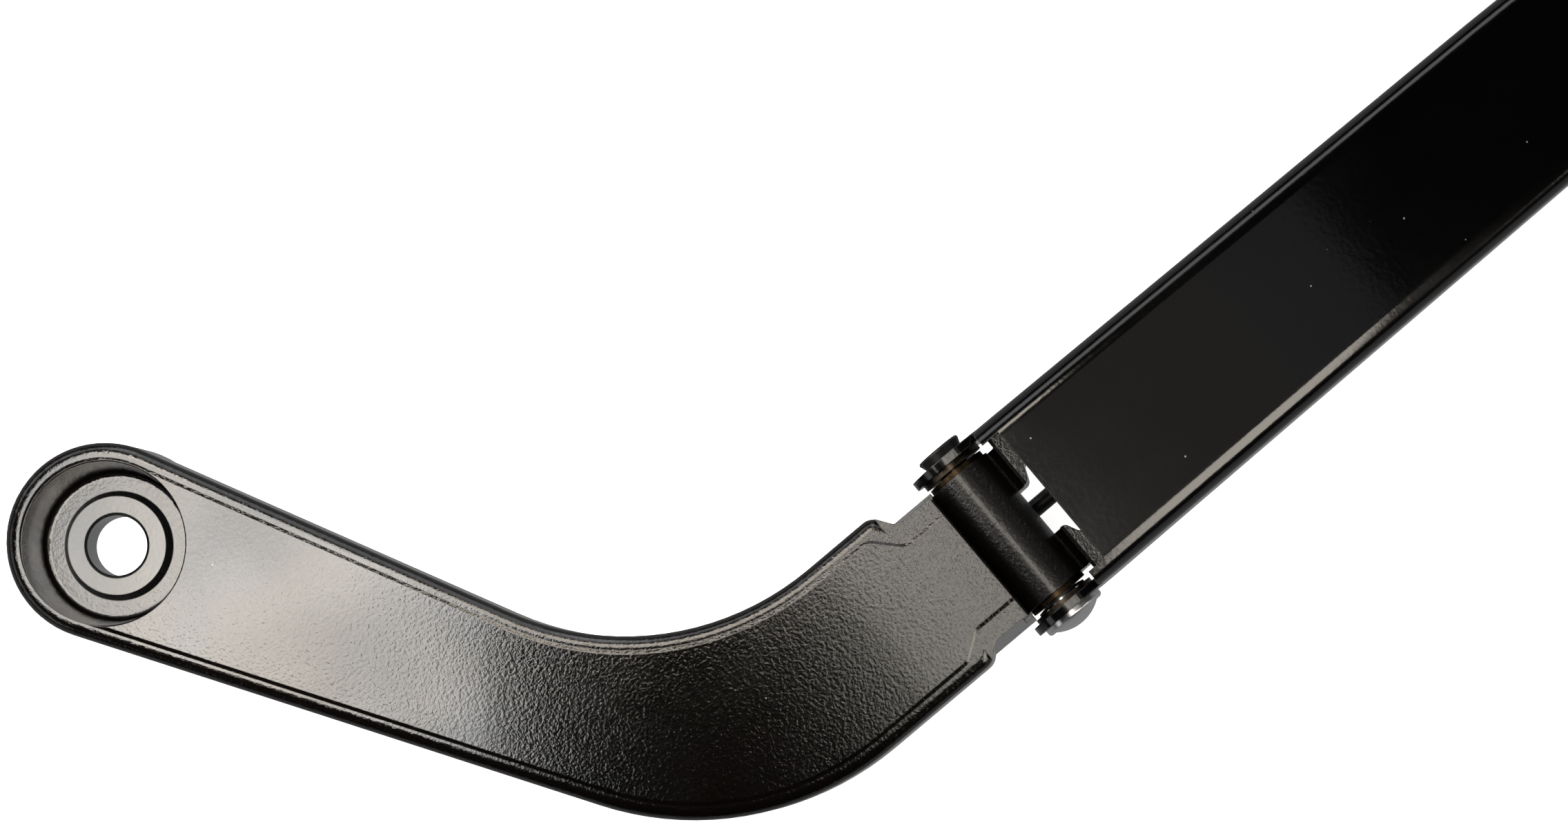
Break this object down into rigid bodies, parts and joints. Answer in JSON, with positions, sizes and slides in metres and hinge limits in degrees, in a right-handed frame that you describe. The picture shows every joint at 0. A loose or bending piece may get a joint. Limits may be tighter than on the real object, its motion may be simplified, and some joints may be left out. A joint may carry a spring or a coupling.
{
  "type": "windscreen wiper arm",
  "caption": "Cranked wiper arm: cast head with deep spindle socket, riveted hinge, tapered pressed channel, flat rod with hooked end and hidden tension spring.",
  "frame": {"origin": "spindle bore axis at the underside of the spindle boss", "axes": "+Z out of the head's top face along the spindle, +X along the channel and rod towards the blade, hinge axis parallel to Y"},
  "size_m": [0.5423, 0.1151, 0.0284],
  "materials": {
    "cast_black": "satin black paint over a fine cast surface",
    "steel_black": "smooth semi-gloss black paint on pressed steel",
    "rod_black": "semi-gloss black paint on flat bar",
    "insert_grey": "thin dark grey coating on machined steel",
    "rivet_steel": "bright zinc-plated steel",
    "bush_bronze": "oily sintered bronze",
    "washer_zinc": "yellow-passivated zinc on steel",
    "spring_steel": "oiled dark spring wire"
  },
  "bodies": {
    "head": {"head_casting": "cast_black", "spindle_insert": "insert_grey", "hinge_bush_inner_side": "bush_bronze", "hinge_bush_outer_side": "bush_bronze", "link_anchor_pin": "spring_steel"},
    "arm": {"retainer_channel": "steel_black", "hinge_rivet": "rivet_steel", "thrust_washer_inner_side": "washer_zinc", "thrust_washer_outer_side": "washer_zinc", "curved_spring_washer": "spring_steel", "spring_anchor_pin": "steel_black", "arm_rod": "rod_black", "rod_rivets": "steel_black"},
    "link": {"spring_link": "spring_steel"},
    "spring": {"tension_spring": "spring_steel"}
  },
  "joints": [
    {"name": "arm_hinge", "type": "hinge", "parent": "head", "child": "arm", "pos_m": [0.1016, -0.0835, 0.015], "axis": [0, -1, 0], "range_deg": [0, 90]},
    {"name": "link_swing", "type": "hinge", "parent": "head", "child": "link", "pos_m": [0.1001, -0.0835, 0.0045], "axis": [0, -1, 0], "range_deg": [0, 86]},
    {"name": "spring_stretch", "type": "slide", "parent": "link", "child": "spring", "axis": [0.9974, 0, 0.0724], "range_m": [0, 0.0088], "deforming": ["tension_spring"]}
  ],
  "couplings": [
    {"joint": "link_swing", "follows": "arm_hinge", "ratio": 0.94989},
    {"joint": "spring_stretch", "follows": "arm_hinge", "m_per_rad": 0.0054777}
  ]
}
